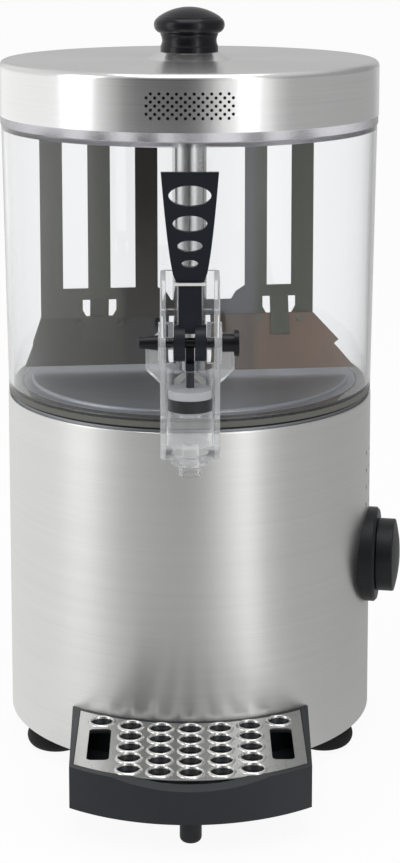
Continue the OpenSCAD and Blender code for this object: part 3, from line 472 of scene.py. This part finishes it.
def drain_rims():
    """One lip, copied to every drain and joined."""
    (x0, y0), *places = drain_places()
    first = drain_rim(x0, y0)
    for x, y in places:
        copy = first.copy()
        copy.data = first.data.copy()
        copy.data.transform(Matrix.Translation((x - x0, y - y0, 0)))
        bpy.context.scene.collection.objects.link(copy)
        copy.select_set(True)
    bpy.context.view_layer.objects.active = first
    bpy.ops.object.join()
    first.name = "drain_rims"
    return first


# The field of vents in the lid's skirt, and the black strip of painted shade that lies behind it
VENTS_Z, STRIP_H, STRIP_HALF = LID_FOOT + 16 * MM, 19 * MM, 36 * MM
STRIP_R, STRIP_T = LID_R - 2.1 * MM, 0.5 * MM


def vent_shade_strip():
    """A black strip inside the lid, behind its vents, that stands in for the shade in there."""
    shade_strip = start("vent_shade_strip", bpy.ops.mesh.primitive_cylinder_add, vertices=96, radius=STRIP_R,
        depth=STRIP_H, end_fill_type="NOTHING", location=(0, 0, VENTS_Z))
    pick(shade_strip, lambda centre, normal: centre.y > 0 or abs(centre.x) > STRIP_HALF)
    bpy.ops.mesh.delete(type="FACE")
    bpy.ops.mesh.select_all(action="SELECT")
    bpy.ops.mesh.extrude_region_shrink_fatten(TRANSFORM_OT_shrink_fatten={"value": -STRIP_T})
    bpy.ops.mesh.select_all(action="SELECT")
    bpy.ops.mesh.normals_make_consistent(inside=False)
    bpy.ops.mesh.bevel(offset=0.1 * MM, segments=1)
    return close(shade_strip)


# Painted highlight: the lips are given a brighter steel colour than the grate that they are pressed from.
wear(drain_rims(), pressed("rim_steel_highlight", (0.80, 0.80, 0.79), 0.27, 0.03), "grate")
# Painted shade: a black strip behind the lid's vents, where there is only shade.
wear(vent_shade_strip(), moulded("shade_strip_black", (0.012, 0.012, 0.012), 0.7, 2600, 0.0001), "lid")


# ---------- floor, backdrop and light ----------

# What polished metal sees round the machine: stops of (bearing in degrees from the tap, level)
NEAR = [(-180, 0.80), (-66, 0.84), (-52, 0.74), (-36, 0.62), (-4, 0.56), (8, 0.58), (19, 0.72),
    (28, 0.88), (35, 0.78), (44, 0.54), (62, 0.48), (110, 0.44), (142, 0.44), (180, 0.80)]
FAR = [(-180, 0.64), (-166, 0.70), (-150, 1.0), (-62, 1.0), (-53, 0.72), (-45, 0.48), (-37, 0.22),
    (-28, 0.13), (-4, 0.09), (4, 0.13), (12, 0.40), (19, 0.85), (26, 1.0), (46, 1.0), (53, 0.60),
    (62, 0.44), (140, 0.40), (165, 0.62), (180, 0.64)]
# Where the floor's near levels end and its far levels start
NEAR_END, FAR_START = 1.2, 2.2
ROOM_LEVEL = 0.8


def ring_of_light(n, x, y, stops):
    """A level that changes with the bearing from the tap's side."""
    turn = x.angle(0 - y) / (2 * math.pi) + 0.5
    return n.node("ValToRGB", {"stops": stops}, i0=turn)


def sight(n):
    """Whether a ray comes straight from the eye, or through clear pieces, and whether metal mirrored it."""
    path = n.node("LightPath")
    bounced = path.output("Glossy Depth").above(0.5)
    seen = (path.output("Is Camera Ray") + path.output("Is Transmission Ray")).clamp() * (1 - bounced)
    mirrored = (bounced + path.output("Is Glossy Ray")).clamp() * (1 - seen)
    return seen, mirrored


def floor_finish():
    """Pale and matt. The eye sees it white with a soft shadow, and metal sees the levels above."""
    f = Finish("pale_floor", (0.9, 0.9, 0.9), Roughness=0.9)
    f.set(Base_Color=f.blend(f.noise(f.place(), 3), (0.90, 0.90, 0.90, 1), (0.92, 0.92, 0.92, 1)))
    x, y, z = f.split(f.place())
    away = fade(from_axis(x, y), NEAR_END, FAR_START)
    level = ring_of_light(f, x, y, NEAR) * (1 - away) + ring_of_light(f, x, y, FAR) * away
    seen, mirrored = sight(f)
    white = f.node("Emission", Color=(1, 1, 1, 1), Strength=seen + mirrored * level)
    f.mix(seen * 0.93 + mirrored, white)
    return f.material


def studio_floor():
    bpy.ops.object.select_all(action="DESELECT")
    bpy.ops.mesh.primitive_plane_add(size=60, location=(0, 0, 0))
    floor = bpy.context.active_object
    floor.name = "studio_floor"
    floor.data.materials.append(floor_finish())


def studio_world():
    """White to the eye, an even room to matt surfaces, and the far levels to metal."""
    world = bpy.data.worlds.new("studio")
    bpy.context.scene.world = world
    world.use_nodes = True
    world.node_tree.nodes.clear()
    n = Nodes(world.node_tree)
    x, y, z = n.split(n.node("TexCoord", out="Generated"))
    high = fade(z, 0.4, 0.8)
    room = ring_of_light(n, x, y, FAR) * (1 - high) + high * ROOM_LEVEL
    seen, mirrored = sight(n)
    strength = seen + mirrored * room + (1 - seen - mirrored) * ROOM_LEVEL
    output = n.tree.nodes.new("ShaderNodeOutputWorld")
    put(n.tree, output.inputs["Surface"], n.node("Background", Strength=strength))


def softbox(name, place, aim, size, power):
    """A soft rectangular lamp that faces the point it aims at."""
    lamp = bpy.data.lights.new(name, "AREA")
    lamp.shape, lamp.size, lamp.size_y = "RECTANGLE", *size
    lamp.energy = power
    holder = bpy.data.objects.new(name, lamp)
    holder.location = place
    holder.rotation_euler = (Vector(aim) - Vector(place)).to_track_quat("-Z", "Y").to_euler()
    bpy.context.scene.collection.objects.link(holder)


studio_floor()
studio_world()
softbox("left_box", (-1.5, -0.6, 0.9), (0, 0, 0.25), (0.7, 1.4), 4)
softbox("right_box", (0.9, -1.33, 0.9), (0, 0, 0.25), (0.3, 1.4), 2.5)
softbox("top_box", (0, -0.3, 1.9), (0, 0, 0.2), (1.4, 1.2), 10)

bpy.context.scene.view_settings.view_transform = "Standard"
